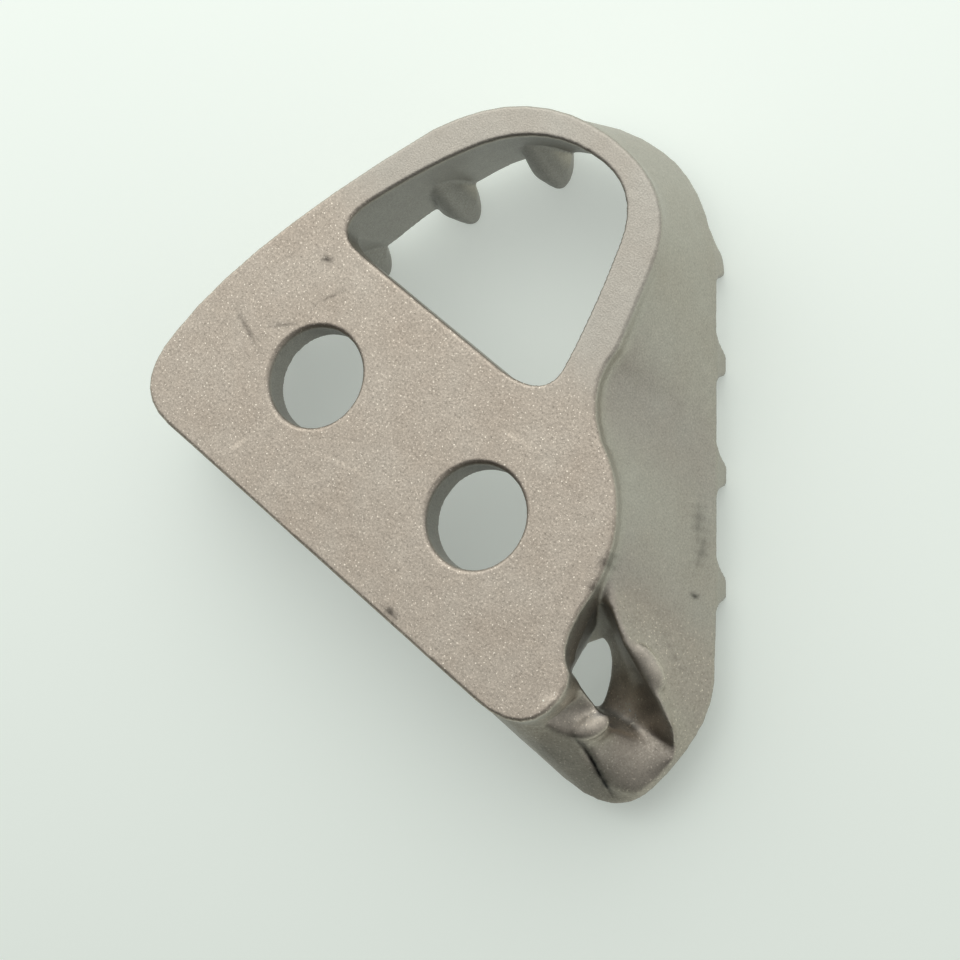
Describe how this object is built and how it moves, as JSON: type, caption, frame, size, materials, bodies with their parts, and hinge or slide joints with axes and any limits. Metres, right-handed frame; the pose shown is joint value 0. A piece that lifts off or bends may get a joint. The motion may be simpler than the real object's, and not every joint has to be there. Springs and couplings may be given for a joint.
{
  "type": "motorcycle pedal step",
  "caption": "One-piece cast step for a motorcycle foot lever: flat bolting pad, open loop beside it and a toothed tread rim on the far side.",
  "frame": {"origin": "on the flat mounting face, midway between the two bolt holes", "axes": "+Z out of the mounting face, towards the lever arm it is bolted to; +X along the line of the two bolt holes, towards the low toe corner; +Y from the bolting pad towards the open loop. The tread teeth point to -Z."},
  "size_m": [0.0434, 0.0346, 0.01],
  "materials": {
    "cast_metal": "bead-blasted raw casting, warm grey, dull"
  },
  "bodies": {
    "root": {"pedal_step_casting": "cast_metal"}
  },
  "joints": []
}
